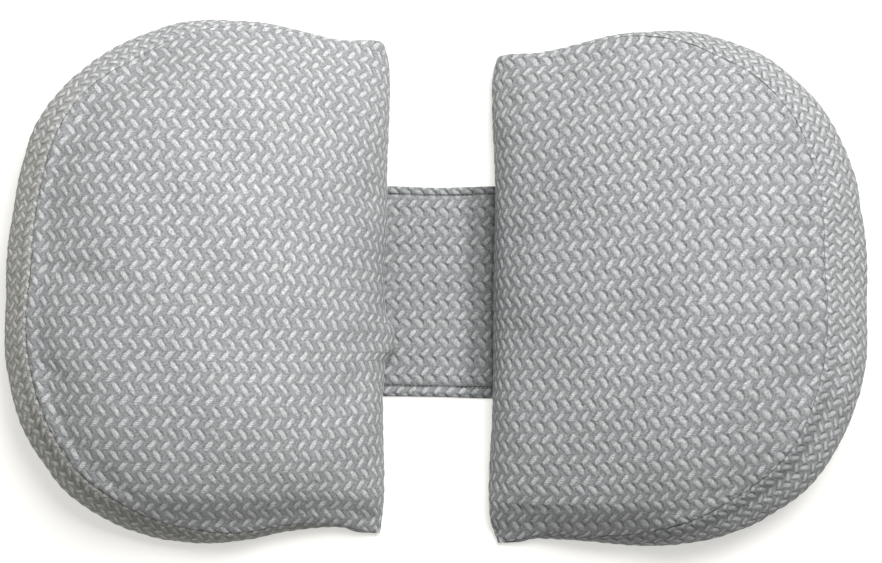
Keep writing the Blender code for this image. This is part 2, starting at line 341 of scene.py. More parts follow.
def ease(share):
    share = np.clip(share, 0, 1)
    return share * share * (3 - 2 * share)


def grown(value, span):
    """From 0 to 1 where the value passes a span, given as its start and its run."""
    return ease((value - span[0]) / span[1])


def summed(steps, axis=0):
    """Running sum of steps, from zero."""
    start = np.zeros_like(np.take(steps, [0], axis))
    return np.cumsum(np.concatenate([start, steps], axis), axis)


def travelled(places, axis=0):
    """Distance along lines of places, from their first."""
    return summed(np.linalg.norm(np.diff(places, axis=axis), axis=-1), axis)


# ---------------------------------------------------------------- smooth shape of a cushion


def bulged(level, bulge, top_inset):
    """How far an upright face lies inside its widest line, which is at the level of its bulge."""
    over = top_inset * ((level - bulge).clip(0, 1) / (1 - bulge)) ** 2
    return over + FOOT_INSET * ((bulge - level).clip(0, 1) / bulge) ** 2


class CushionForm:
    """The smooth shape of one cushion, in (out, along, up)."""

    def __init__(self, **sizes):
        vars(self).update(sizes)
        self.width = float(read_smoothly(BEARINGS, self.reach, 0))
        self.low, self.high = -self.reach[0], self.reach[-1]
        self.middle = np.array([FOLD_INSET + float(self.edge(0.0)), 0.0])
        seam = self.seam_plan(np.linspace(-90, 90, STRIP_LATTICE[0])) - self.middle
        self.rim_angles = np.degrees(np.arctan2(seam[:, 1], seam[:, 0]))
        self.rim_reaches = np.hypot(seam[:, 0], seam[:, 1])

    def along_share(self, along):
        return np.where(along > 0, along / self.high, -along / self.low)

    def turn_in(self, along):
        """How far the straight edge's corners are rounded off."""
        share = self.along_share(along)
        size = np.where(share < 0, *self.corner_round)
        return size * ((np.abs(share) - CORNER_TURN) / (1 - CORNER_TURN)).clip(0, 1) ** 2

    def edge(self, along):
        """Where the straight edge's widest line lies."""
        wave = read_smoothly(EDGE_SHARES, self.edge_wave, self.along_share(along))
        place, size, half = self.fold_bump
        bump = size * np.exp(-(((along - place) / half) ** 4))
        return self.turn_in(along) - bump - wave

    def fold_top(self, along):
        """How far out the fold ends and the top of the panel starts."""
        corner = np.abs(self.along_share(along)).clip(0, 1) ** CORNER_POWER
        return self.edge(along) + FOLD_INSET + (CORNER_INSET - FOLD_INSET) * corner

    def widest(self, bearing):
        reach = read_smoothly(BEARINGS, self.reach, bearing)
        turn = np.radians(bearing)
        along = reach * np.sin(turn)
        corner = self.turn_in(along) * grown(np.abs(bearing), CORNER_BEARINGS)
        return np.stack([reach * np.cos(turn) + corner, along], -1)

    def inward(self, bearing):
        """The direction in which the seams lie inside the widest line."""
        widest = self.widest(bearing)
        out = SPINE_OUT * self.width - widest[..., 0]
        way = np.stack([out, (SPINE_ALONG - 1) * widest[..., 1]], -1)
        way /= np.linalg.norm(way, axis=-1, keepdims=True)
        free = grown(np.abs(bearing), (90, -SPINE_RUN))[..., None]
        way = way * free + np.array([1.0, 0.0]) * (1 - free)
        return way / np.linalg.norm(way, axis=-1, keepdims=True)

    def seam_plan(self, bearing):
        inset = read_smoothly(INSET_BEARINGS, self.seam_inset, bearing)
        return self.widest(bearing) + self.inward(bearing) * inset[..., None]

    def seam_height(self, out):
        share = np.clip(out / self.width, 1e-6, 1)
        return CORNER_HEIGHT + (self.outer_height - CORNER_HEIGHT) * share**SEAM_POWER

    def top(self, out, along):
        """Height of the panel over a point."""
        away = np.stack([out - self.middle[0], along - self.middle[1]], -1)
        angle = np.degrees(np.arctan2(away[..., 1], away[..., 0]))
        rim = np.interp(angle, self.rim_angles, self.rim_reaches)
        ring = (np.hypot(away[..., 0], away[..., 1]) / rim).clip(0, TOP_END)
        lift = self.crown - self.fold_dip * np.exp(-np.maximum(out, 0) / self.fold_run)
        return self.seam_height(out) + lift * (1 - ring**CROWN_POWER)

    def strip_point(self, bearing, level):
        """On the strip, from its foot (level 0) to its upper seam (level 1)."""
        plan = self.seam_plan(bearing)
        height = self.seam_height(plan[..., 0])
        inset = read_smoothly(INSET_BEARINGS, self.seam_inset, bearing)
        inset = bulged(level, STRIP_BULGE_LEVEL, inset)
        place = self.widest(bearing) + self.inward(bearing) * inset[..., None]
        return np.concatenate([place, (height * level)[..., None]], -1)

    def fold_section(self, along, steps=48):
        """Down the fold from its top to its foot: (out, up) at each place along the edge."""
        share = np.abs(self.along_share(along)).clip(0, 1)
        edge, top_out = self.edge(along), self.fold_top(along)
        top_up = self.top(top_out, along)
        step = 1e-4
        slope = (self.top(top_out + step, along) - top_up) / step
        corner = share**CORNER_POWER
        bulge = FOLD_BULGE_LEVEL + (STRIP_BULGE_LEVEL - FOLD_BULGE_LEVEL) * corner
        wide_up = bulge * top_up
        t = np.linspace(0, 1, steps)[None, :]
        shares = ((1 - t) ** 3, 3 * (1 - t) ** 2 * t, 3 * (1 - t) * t**2, t**3)

        def curve(*points):
            return [
                sum(share * point[axis][:, None] for share, point in zip(shares, points))
                for axis in (0, 1)
            ]

        reach = np.hypot(top_out - edge, top_up - wide_up) * FOLD_HANDLE
        handle = reach / np.sqrt(1 + slope**2)
        upper = curve(
            (top_out, top_up),
            (top_out - handle, top_up - handle * slope),
            (edge, wide_up + FOLD_HANDLE * (top_up - wide_up)),
            (edge, wide_up),
        )
        foot, floor = edge + FOOT_INSET, np.zeros_like(edge)
        lower = curve(
            (edge, wide_up),
            (edge, wide_up * (1 - FOOT_HANDLE)),
            (foot - FOOT_HANDLE * FOOT_INSET, floor),
            (foot, floor),
        )
        out, up = (np.concatenate([one, other[:, 1:]], 1) for one, other in zip(upper, lower))
        # Towards a corner the section turns into that of the strip.
        level = (up / top_up[:, None]).clip(0, 1)
        edge, bulge = edge[:, None], bulge[:, None]
        inset = bulged(level, bulge, top_out[:, None] - edge)
        mix = (share**FOLD_END_POWER)[:, None]
        return out * (1 - mix) + (edge + inset) * mix, up

    def to_world(self, points):
        lean = self.lean * points[..., 1] / self.high
        x = self.edge_x + self.side * points[..., 0] + lean
        return np.stack([x, self.middle_y + points[..., 1], points[..., 2]], -1)


# ---------------------------------------------------------------- pieces laid out flat


class Layout:
    """A piece laid out flat: places and cloth coordinates on a regular lattice."""

    def __init__(self, across, along, places, cloth):
        self.across, self.along = across, along
        self.places, self.cloth = places, cloth
        slope_across = np.gradient(cloth, across, axis=0)
        slope_along = np.gradient(cloth, along, axis=1)
        self.slopes = np.concatenate([slope_across, slope_along], -1)

    def read(self, field, at):
        """A field of the lattice at points (across, along)."""
        steps = []
        for axis, line in enumerate((self.across, self.along)):
            place = (at[..., axis] - line[0]) / (line[1] - line[0])
            whole = np.clip(np.floor(place).astype(int), 0, len(line) - 2)
            steps.append((whole, np.clip(place - whole, 0, 1)[..., None]))
        (i, u), (j, v) = steps
        low = field[i, j] * (1 - v) + field[i, j + 1] * v
        high = field[i + 1, j] * (1 - v) + field[i + 1, j + 1] * v
        return low * (1 - u) + high * u

    def find(self, cloth, start, rounds=14, longest=0.02):
        """The points (across, along) that carry the given cloth coordinates."""
        at = np.array(start, float)
        for _ in range(rounds):
            miss = cloth - self.read(self.cloth, at)
            slope = self.read(self.slopes, at)
            a, c, b, d = (slope[..., k] for k in range(4))
            area = a * d - b * c
            step = np.stack([
                (d * miss[..., 0] - b * miss[..., 1]) / area,
                (a * miss[..., 1] - c * miss[..., 0]) / area,
            ], -1)
            at += np.clip(step, -longest, longest)
            for axis, line in enumerate((self.across, self.along)):
                at[..., axis] = at[..., axis].clip(line[0], line[-1])
        return at


def from_zero(lengths, line):
    """Lengths along a lattice's second way, made to count from where the line reads zero."""
    place = np.interp(0.0, line, np.arange(len(line)))
    whole, part = int(place), place - int(place)
    return lengths - (1 - part) * lengths[:, [whole]] - part * lengths[:, [whole + 1]]


def panel_layout(form):
    """The panel: across is measured from the top of the fold, negative down the fold."""
    mm = 0.001
    along = np.linspace(form.low - ROOM_ALONG, form.high + ROOM_ALONG, PANEL_LATTICE)
    across = np.arange(-FOLD_ROOM, form.width + ROOM, LATTICE_STEP)
    fold = np.stack(form.fold_section(along), -1)
    lengths = travelled(fold, 1)
    places = np.zeros((len(across), len(along), 3))
    places[..., 1] = along
    over = across >= 0
    out = form.fold_top(along) + across[over][:, None]
    places[over, :, 0] = out
    places[over, :, 2] = form.top(out, np.broadcast_to(along, out.shape))
    down = -across[~over]
    for j, run in enumerate(lengths):
        places[~over, j, 0] = np.interp(down, run, fold[j, :, 0]) + (down - run[-1]).clip(0)
        places[~over, j, 2] = np.interp(down, run, fold[j, :, 1])

    out = places[..., 0]
    steps = np.linalg.norm(np.diff(places[..., [0, 2]], axis=0), axis=-1)
    on_fold = (across[1:] + across[:-1] < 0)[:, None]
    middles = np.where(on_fold, 0.0, (out[1:] + out[:-1]) / 2)
    columns = summed(steps / (read_smoothly(CLOTH_OUT, form.repeat_out, middles) * mm))
    columns -= [np.interp(COLUMN_ORIGIN, out[over, j], columns[over, j]) for j in range(len(along))]
    drift = read_smoothly(CLOTH_ALONG, form.column_drift, along) * mm / REPEAT[0]
    columns = form.side * columns + drift

    steps = np.linalg.norm(np.diff(places[..., 1:], axis=1), axis=-1)
    middles = (along[1:] + along[:-1]) / 2
    rows = summed(steps / (read_smoothly(CLOTH_ALONG, form.repeat_along, middles) * mm), 1)
    rows = from_zero(rows, along)
    low, high = form.rows_drawn_in
    drawn = low + (high - low) * grown(along, DRAWN_IN_ALONG)
    rows = rows * (1 + drawn * np.exp(-np.maximum(out, 0) / DRAWN_IN_RUN))
    rows = rows - read_smoothly(CLOTH_OUT, form.row_rise, out) * mm / REPEAT[1]
    cloth = np.stack([columns + form.phase[0], rows + form.phase[1]], -1)
    foot = np.stack([-lengths[:, -1], along], -1)
    return Layout(across, along, places, cloth), foot


def strip_layout(form):
    """The strip: across is the bearing in hundreds of degrees, along is the level."""
    bearings = np.linspace(-90, 90, STRIP_LATTICE[0])
    levels = np.linspace(0, 1, STRIP_LATTICE[1])
    grid_bearing, grid_level = np.meshgrid(bearings, levels, indexing="ij")
    places = form.strip_point(grid_bearing, grid_level)
    run = travelled(form.widest(bearings))
    run -= run[-1] / 2
    depth = travelled(places, 1)
    depth -= depth[:, -1:]
    columns = np.broadcast_to(run[:, None], depth.shape) * form.side / STRIP_REPEAT[0]
    cloth = np.stack([columns, depth / STRIP_REPEAT[1]], -1)
    return Layout(bearings / 100, levels, places, cloth)


# ---------------------------------------------------------------- cutting pieces and sewing them up


def inside_spans(loop, lines, axis):
    """Where each line cuts a closed loop: pairs of places in which the line runs inside it."""
    start, end = loop, np.roll(loop, -1, 0)
    spans = []
    for line in lines:
        a, b = start[:, axis] - line, end[:, axis] - line
        cut = (a > 0) != (b > 0)
        share = a[cut] / (a[cut] - b[cut])
        other = 1 - axis
        places = start[cut, other] + share * (end[cut, other] - start[cut, other])
        spans.append(np.sort(places).reshape(-1, 2))
    return spans


def inside(points, loop):
    """Which points lie inside a closed loop."""
    result = np.zeros(len(points), bool)
    start, end = loop, np.roll(loop, -1, 0)
    for block in range(0, len(points), BLOCK):
        part = points[block : block + BLOCK]
        a = start[None, :, 1] > part[:, None, 1]
        b = end[None, :, 1] > part[:, None, 1]
        rise = np.where(a != b, end[None, :, 1] - start[None, :, 1], 1)
        share = (part[:, None, 1] - start[None, :, 1]) / rise
        cut = start[None, :, 0] + share * (end[None, :, 0] - start[None, :, 0])
        result[block : block + BLOCK] = ((a != b) & (part[:, None, 0] < cut)).sum(1) % 2 == 1
    return result


def quads_of(grid):
    """The four corners of each cell in a grid of point indices."""
    return np.stack([grid[:-1, :-1], grid[1:, :-1], grid[1:, 1:], grid[:-1, 1:]], -1)


def cut_out(loop, pitch):
    """Fills a closed loop with a regular net of the given pitch and a row of triangles round it.

    Returns the net's points and the faces, whose indices count the loop's points first."""
    low = np.floor(loop.min(0) / pitch).astype(int)
    high = np.ceil(loop.max(0) / pitch).astype(int)
    columns, rows = np.arange(low[0], high[0] + 1), np.arange(low[1], high[1] + 1)
    kept = np.zeros((len(columns), len(rows)), bool)
    for j, spans in enumerate(inside_spans(loop, rows * pitch[1] + NUDGE, 1)):
        for start, end in spans / pitch[0]:
            kept[(columns > start + NET_MARGIN) & (columns < end - NET_MARGIN), j] = True
    across = np.zeros_like(kept)
    for i, spans in enumerate(inside_spans(loop, columns * pitch[0] + NUDGE, 0)):
        for start, end in spans / pitch[1]:
            across[i, (rows > start + NET_MARGIN) & (rows < end - NET_MARGIN)] = True
    kept &= across
    cells = kept[:-1, :-1] & kept[1:, :-1] & kept[1:, 1:] & kept[:-1, 1:]
    # A cell that meets another only at a corner is dropped.
    for _ in range(3):
        pad = np.pad(cells, 1).astype(int)
        cells &= pad[:-2, 1:-1] + pad[2:, 1:-1] + pad[1:-1, :-2] + pad[1:-1, 2:] >= 2
    index = np.full(kept.shape, -1)
    used = np.zeros_like(kept)
    for di, dj in ((0, 0), (1, 0), (1, 1), (0, 1)):
        used[di : di + cells.shape[0], dj : dj + cells.shape[1]] |= cells
    index[used] = np.arange(used.sum()) + len(loop)
    i, j = np.nonzero(used)
    net = np.stack([columns[i] * pitch[0], rows[j] * pitch[1]], -1)
    quads = quads_of(index)[cells]
    sides = np.concatenate([quads[:, [k, (k + 1) % 4]] for k in range(4)])
    keys, counts = np.unique(np.sort(sides, 1), axis=0, return_counts=True)
    rim = keys[counts == 1]
    points = np.concatenate([loop, net])
    rim_points = np.unique(rim)
    order = np.concatenate([np.arange(len(loop)), rim_points])
    place_of = {int(point): place for place, point in enumerate(order)}
    edges = [(k, (k + 1) % len(loop)) for k in range(len(loop))]
    edges += [(place_of[int(a)], place_of[int(b)]) for a, b in rim]
    flat = [Vector(point) for point in points[order]]
    found = delaunay_2d_cdt(flat, edges, [], 0, 1e-9)
    if len(found[0]) != len(flat):
        raise RuntimeError("the outline of a layout crosses itself or its net")
    triangles = order[np.array(found[2])]
    middles = points[triangles].mean(1)
    cell = np.floor(middles / pitch).astype(int) - low
    cell = cell.clip(0, np.array(cells.shape) - 1)
    keep = ~cells[cell[:, 0], cell[:, 1]] & inside(middles, loop)
    return net, quads, triangles[keep]


def raised(cloth, puff):
    """How far the cloth's threads stand proud, 0 to 1, at cloth coordinates in repeats."""
    height = np.zeros(cloth.shape[:-1])
    for thread in THREADS.values():
        away = cloth - np.array(thread["middle"])
        away = (away - np.round(away)) * np.array(REPEAT) * 1000
        turn = math.radians(thread["turn"])
        along = away[..., 0] * math.cos(turn) + away[..., 1] * math.sin(turn)
        aside = away[..., 1] * math.cos(turn) - away[..., 0] * math.sin(turn)
        along = 2 * along / thread["length"]
        aside = aside - thread["bow"] * puff * (1 - along**2)
        aside = 2 * aside / (thread["width"] + thread["puffed width"] * puff)
        left = 1 - np.abs(along) ** ROUND_END - aside**2
        height = np.maximum(height, thread["proud"] * left.clip(0, 1) ** DOME_POWER)
    return height


class Cover:
    """Collects the pieces of one cushion's cover into a single closed mesh."""

    def __init__(self, puff):
        self.puff = puff
        self.points = []
        self.proud = []
        self.pulled = []
        self.count = 0
        self.faces = []
        self.face_cloth = []
        self.face_bake = []

    def add_points(self, points, proud=None, pulled=0.0):
        start = self.count
        self.points.append(np.asarray(points, float))
        self.proud.append(np.zeros(len(points)) if proud is None else proud)
        self.pulled.append(np.full(len(points), pulled))
        self.count += len(points)
        return np.arange(start, self.count)

    def add_piece(self, piece, layout, loop, loop_at, pitch):
        """Cuts a piece out of its layout, along a loop of points that are already there."""
        loop_cloth = layout.read(layout.cloth, loop_at)
        net, quads, triangles = cut_out(loop_cloth, pitch)
        net_at = layout.find(net, rough_start(layout, net))
        proud = None if piece == "under" else raised(net, self.puff)
        pulled = 1.0 if piece == "strip" else 0.0
        inner = self.add_points(layout.read(layout.places, net_at), proud, pulled)
        indices = np.concatenate([loop, inner])
        cloth = np.concatenate([loop_cloth, net])
        bake = (cloth - cloth.min(0)) * np.array(REPEAT) / BAKE_SIZE + np.array(BAKE_PLACES[piece])
        for group in (quads, triangles):
            self.faces.extend(indices[group].tolist())
            self.face_cloth.extend(cloth[group].reshape(-1, 2))
            self.face_bake.extend(bake[group].reshape(-1, 2))

    def build(self, name, form):
        mesh = bpy.data.meshes.new(name)
        mesh.from_pydata(form.to_world(np.concatenate(self.points)), [], self.faces)
        for layer, values in ((CLOTH_MAP, self.face_cloth), (BAKE_MAP, self.face_bake)):
            chart = mesh.uv_layers.new(name=layer)
            chart.uv.foreach_set("vector", np.array(values, np.float32).ravel())
        turn_outwards(mesh)
        mesh.shade_smooth()
        return mesh


def turn_outwards(mesh):
    bm = bmesh.new()
    bm.from_mesh(mesh)
    bmesh.ops.recalc_face_normals(bm, faces=bm.faces)
    bm.to_mesh(mesh)
    bm.free()


def smooth_mesh(name, points, faces):
    mesh = bpy.data.meshes.new(name)
    mesh.from_pydata(points, [], faces)
    turn_outwards(mesh)
    mesh.shade_smooth()
    return mesh


def read_points(mesh, name="co"):
    values = np.empty(len(mesh.vertices) * 3)
    mesh.vertices.foreach_get(name, values)
    return values.reshape(-1, 3)


def in_scene(name, data):
    """A new object of that name in the scene."""
    entry = bpy.data.objects.new(name, data)
    bpy.context.scene.collection.objects.link(entry)
    return entry


def point_values(mesh, name, values):
    layer = mesh.attributes.new(name, "FLOAT", "POINT")
    layer.data.foreach_set("value", np.asarray(values, np.float32))


def rough_start(layout, cloth, thin=12):
    """For each cloth coordinate, the nearest point of a thinned lattice."""
    field = layout.cloth[::thin, ::thin].reshape(-1, 2)
    grid = np.stack(np.meshgrid(layout.across[::thin], layout.along[::thin], indexing="ij"), -1)
    grid = grid.reshape(-1, 2)
    start = np.empty_like(cloth)
    for block in range(0, len(cloth), BLOCK):
        part = cloth[block : block + BLOCK]
        gap = ((part[:, None, :] - field[None, :, :]) ** 2).sum(-1)
        start[block : block + BLOCK] = grid[gap.argmin(1)]
    return start


def outline_of(form, foot):
    """The five chains of shared points round a cushion's pieces, and where each piece has them."""
    fine = np.linspace(-90, 90, FINE_BEARINGS)
    run = travelled(form.strip_point(fine, np.ones_like(fine)))
    count = int(round(run[-1] / SEAM_STEP)) + 1
    bearings = np.interp(np.linspace(0, run[-1], count), run, fine)
    bearings[0], bearings[-1] = -90, 90
    top, bottom = np.ones_like(bearings), np.zeros_like(bearings)
    points = form.strip_point(bearings, top)
    across = points[:, 0] - form.fold_top(points[:, 1])
    chains = {
        "seam": {
            "points": points,
            "panel": np.stack([across, points[:, 1]], -1),
            "strip": np.stack([bearings / 100, top], -1),
        }
    }
    levels = np.linspace(1, 0, CORNER_STEPS + 1)
    for name, bearing in (("corner high", 90.0), ("corner low", -90.0)):
        points = form.strip_point(np.full_like(levels, bearing), levels)
        chains[name] = {
            "points": points,
            "panel": np.stack([-travelled(points), np.full_like(levels, points[0, 1])], -1),
            "strip": np.stack([np.full_like(levels, bearing / 100), levels], -1),
        }
    count = int(round((form.high - form.low) / SEAM_STEP))
    along = np.linspace(form.high, form.low, count + 1)
    edge = form.edge(along) + FOOT_INSET
    chains["fold foot"] = {
        "points": np.stack([edge, along, np.zeros_like(along)], -1),
        "panel": np.stack([np.interp(along, foot[:, 1], foot[:, 0]), along], -1),
        "under": np.stack([edge, along], -1),
    }
    points = form.strip_point(bearings, bottom)
    chains["strip foot"] = {
        "points": points,
        "strip": np.stack([bearings / 100, bottom], -1),
        "under": points[:, :2],
    }
    return chains


# The chains round each piece, in turn and each forwards (1) or backwards (-1).
ROUTES = {
    "panel": (("seam", 1), ("corner high", 1), ("fold foot", 1), ("corner low", -1)),
    "strip": (("seam", 1), ("corner high", 1), ("strip foot", -1), ("corner low", -1)),
    "under": (("fold foot", 1), ("strip foot", 1)),
}


def build_cover(form):
    """The cover of a cushion, and which of its points lie on the upper seam."""
    panel, foot = panel_layout(form)
    chains = outline_of(form, foot)
    cover = Cover(form.puff)
    indices = {"seam": cover.add_points(chains["seam"]["points"])}
    for name, seam_end in (("corner high", -1), ("corner low", 0)):
        inner = cover.add_points(chains[name]["points"][1:])
        indices[name] = np.concatenate([[indices["seam"][seam_end]], inner])
    for name, start, end in (
        ("fold foot", "corner high", "corner low"),
        ("strip foot", "corner low", "corner high"),
    ):
        inner = cover.add_points(chains[name]["points"][1:-1])
        indices[name] = np.concatenate([indices[start][-1:], inner, indices[end][-1:]])

    out = np.arange(-0.02, form.width + ROOM, UNDER_LATTICE_STEP)
    along = np.arange(form.low - ROOM, form.high + ROOM, UNDER_LATTICE_STEP)
    plan = np.stack(np.meshgrid(out, along, indexing="ij"), -1)
    places = np.concatenate([plan, np.zeros(plan.shape[:2] + (1,))], -1)
    cloth = plan * np.array([form.side, 1]) / np.array(UNDER_REPEAT)
    under = Layout(out, along, places, cloth)

    fine = np.array([1 / MESH_COLUMNS, 1 / MESH_ROWS])
    for piece, layout, pitch in (
        ("panel", panel, fine),
        ("strip", strip_layout(form), fine),
        ("under", under, fine * UNDER_COARSER),
    ):
        route = ROUTES[piece]
        loop = np.concatenate([indices[name][::way][:-1] for name, way in route])
        loop_at = np.concatenate([chains[name][piece][::way][:-1] for name, way in route])
        cover.add_piece(piece, layout, loop, loop_at, pitch)
    return cover, indices["seam"]


# ---------------------------------------------------------------- what filling and sewing do


def waves(table, x, y):
    """Sum of slow waves, each given as its length in x and y, its phase and its height."""
    return sum(
        height * np.sin(2 * math.pi * (x / x_length + y / y_length) + phase)
        for x_length, y_length, phase, height in table
    )


def filling_shift(points):
    """How far the filling lifts the cover off its smooth shape."""
    shift = np.zeros(len(points))
    for x, y, depth, half_long, half_wide, turn in HOLLOWS:
        dx, dy = points[:, 0] - x, points[:, 1] - y
        turn = math.radians(turn)
        along = (dx * math.cos(turn) + dy * math.sin(turn)) / half_long
        aside = (dy * math.cos(turn) - dx * math.sin(turn)) / half_wide
        shift -= depth * np.exp(-(along**2) - aside**2)
    shift += waves(FILLING_WAVES, points[:, 0], points[:, 1])
    return shift * grown(points[:, 2], FILLING_FROM_FLOOR)


def tree_of(places):
    tree = KDTree(len(places))
    for i, place in enumerate(places):
        tree.insert(place, i)
    tree.balance()
    return tree


def distance_to(points, line):
    """Distance of each point from a line of close points, and the nearest one's place in it."""
    tree = tree_of(line)
    _, nearest, gap = zip(*(tree.find(point) for point in points))
    return np.array(gap), np.array(nearest)


def strap_edges(x):
    """Where the strap's -y and +y edge lie."""
    return [y + read_smoothly(STRAP_WAVE_X, wave, x) for y, wave in zip(STRAP_Y, EDGE_WAVES)]


def over_strap(points):
    """1 over the strap, falling to 0 a little way beside it."""
    low, high = strap_edges(points[:, 0])
    beside = np.maximum(low - points[:, 1], points[:, 1] - high)
    beyond = np.maximum(STRAP_X[0] - points[:, 0], points[:, 0] - STRAP_X[1])
    return ease(1 - (np.maximum(beside, beyond) - BED_MARGIN) / BED_RUN)


def settled(mesh, seam):
    """Cloth simulation: how far the filling pushes each point of a cover between its seams."""
    scene = bpy.context.scene
    cage = in_scene("cage", mesh.copy())
    remesh = cage.modifiers.new("even mesh", "REMESH")
    remesh.mode = "VOXEL"
    remesh.voxel_size = CAGE_SIZE
    depsgraph = bpy.context.evaluated_depsgraph_get()
    even = bpy.data.meshes.new_from_object(cage.evaluated_get(depsgraph))
    cage.modifiers.clear()
    cage.data = even
    start = read_points(even)
    gap, _ = distance_to(start, seam)
    held = np.flatnonzero(np.minimum(gap, start[:, 2]) < CAGE_HELD)
    cage.vertex_groups.new(name="held").add(held.tolist(), 1.0, "REPLACE")
    cloth = cage.modifiers.new("filled cover", "CLOTH")
    for name, value in CAGE_CLOTH.items():
        setattr(cloth.settings, name, value)
    cloth.settings.effector_weights.gravity = 0
    cloth.point_cache.frame_start = 1
    cloth.point_cache.frame_end = CAGE_FRAMES
    for moment in range(1, CAGE_FRAMES + 1):
        scene.frame_set(moment)
    depsgraph = bpy.context.evaluated_depsgraph_get()
    moved = read_points(cage.evaluated_get(depsgraph).to_mesh()) - start
    scene.frame_set(1)
    bpy.data.objects.remove(cage)
    free = np.linalg.norm(moved, axis=1) > 1e-6
    normals = read_points(even, "normal")
    swell = np.median((moved * normals).sum(1)[free])
    moved -= normals * swell * free[:, None]
    moved[:, :2] *= SETTLE_ASIDE
    size = np.linalg.norm(moved, axis=1, keepdims=True).clip(1e-9)
    moved *= SETTLE_LIMIT * np.tanh(size / SETTLE_LIMIT) / size
    tree = tree_of(start)
    carried = []
    for point in read_points(mesh):
        found = tree.find_n(point, CARRY_COUNT)
        weights = np.array([1 / (distance + CARRY_BLUR) ** 2 for _, _, distance in found])
        places = [index for _, index, _ in found]
        carried.append(weights @ moved[places] / weights.sum())
    return np.array(carried)


def make_cushion(name, settings):
    """A cushion's cover, settled, drawn in at its seams and raised where its threads stand."""
    form = CushionForm(**CUSHIONS[name])
    cover, seam_points = build_cover(form)
    mesh = cover.build(name, form)
    points, normals = read_points(mesh), read_points(mesh, "normal")
    seam = points[seam_points]
    gap, nearest = distance_to(points, seam)
    free = grown(gap, SETTLED_FROM_SEAM) * grown(points[:, 2], SETTLED_FROM_FLOOR)
    points = points + settled(mesh, seam) * free[:, None]

    shift = filling_shift(points)
    corner = ease((seam[:, 2].min() + CORNER_RUN - points[:, 2]) / CORNER_RUN)
    turn = nearest * PUCKER_TURN
    pucker = 1 + PUCKER * np.sin(turn + PUCKER_WANDER[0] * np.sin(turn / PUCKER_WANDER[1]))
    groove = np.exp(-((gap / settings.seam_width) ** 2)) * (1 - CORNER_GROOVE * corner)
    shift -= settings.seam_depth * groove * pucker
    beside = np.exp(-(((gap - SWELL_AT) / SWELL_WIDTH) ** 2)) * (1 - corner)
    shift += settings.seam_roll * beside * pucker
    pulled = np.concatenate(cover.pulled)
    proud = np.concatenate(cover.proud) * (1 - (1 - PULLED_RELIEF) * pulled)
    proud *= grown(gap, RELIEF_FROM_SEAM) * grown(points[:, 2], RELIEF_FROM_FLOOR)
    shift += settings.relief * proud
    points = rolled(points + normals * shift[:, None], form)
    lift = BED_DEPTH * over_strap(points) * (1 - points[:, 2] / BED_HEIGHT).clip(0, 1)
    points[:, 2] = (points[:, 2] + lift).clip(0, None)
    mesh.vertices.foreach_set("co", points.ravel())

    away = seam[:, 1] - form.middle_y, np.abs(seam[:, 0] - form.edge_x)
    bearings = np.degrees(np.arctan2(*away))
    # How strongly the painted shade of the seam's groove shows, round the cushion.
    seam_shading = np.zeros(len(bearings))
    for first, last, strength in form.open_seams:
        seam_shading += strength * grown(bearings, (first, SEAM_SHADE_RUN)) * grown(bearings, (last, -SEAM_SHADE_RUN))
    values = {PULLED: pulled, SEAM_GAP: gap * 1000, SEAM_SHADE: seam_shading[nearest]}
    for layer, numbers in values.items():
        point_values(mesh, layer, numbers)
    mesh.update()
    return in_scene(name + "_cover", mesh)


def rolled(points, form):
    """Lets the near edge of the cover roll down, where the filling runs out."""
    drop, reach = form.roll
    out = form.side * (points[:, 0] - form.edge_x)
    rim = form.middle_y + form.low
    share = grown(points[:, 1], (rim + ROLL_RUN, -ROLL_RUN)) * grown(out, (reach, -ROLL_END_RUN))
    result = points.copy()
    result[:, 2] -= (
        drop * share * grown(out, ROLL_FROM_EDGE) * grown(points[:, 2], ROLL_FROM_FLOOR)
    )
    return result


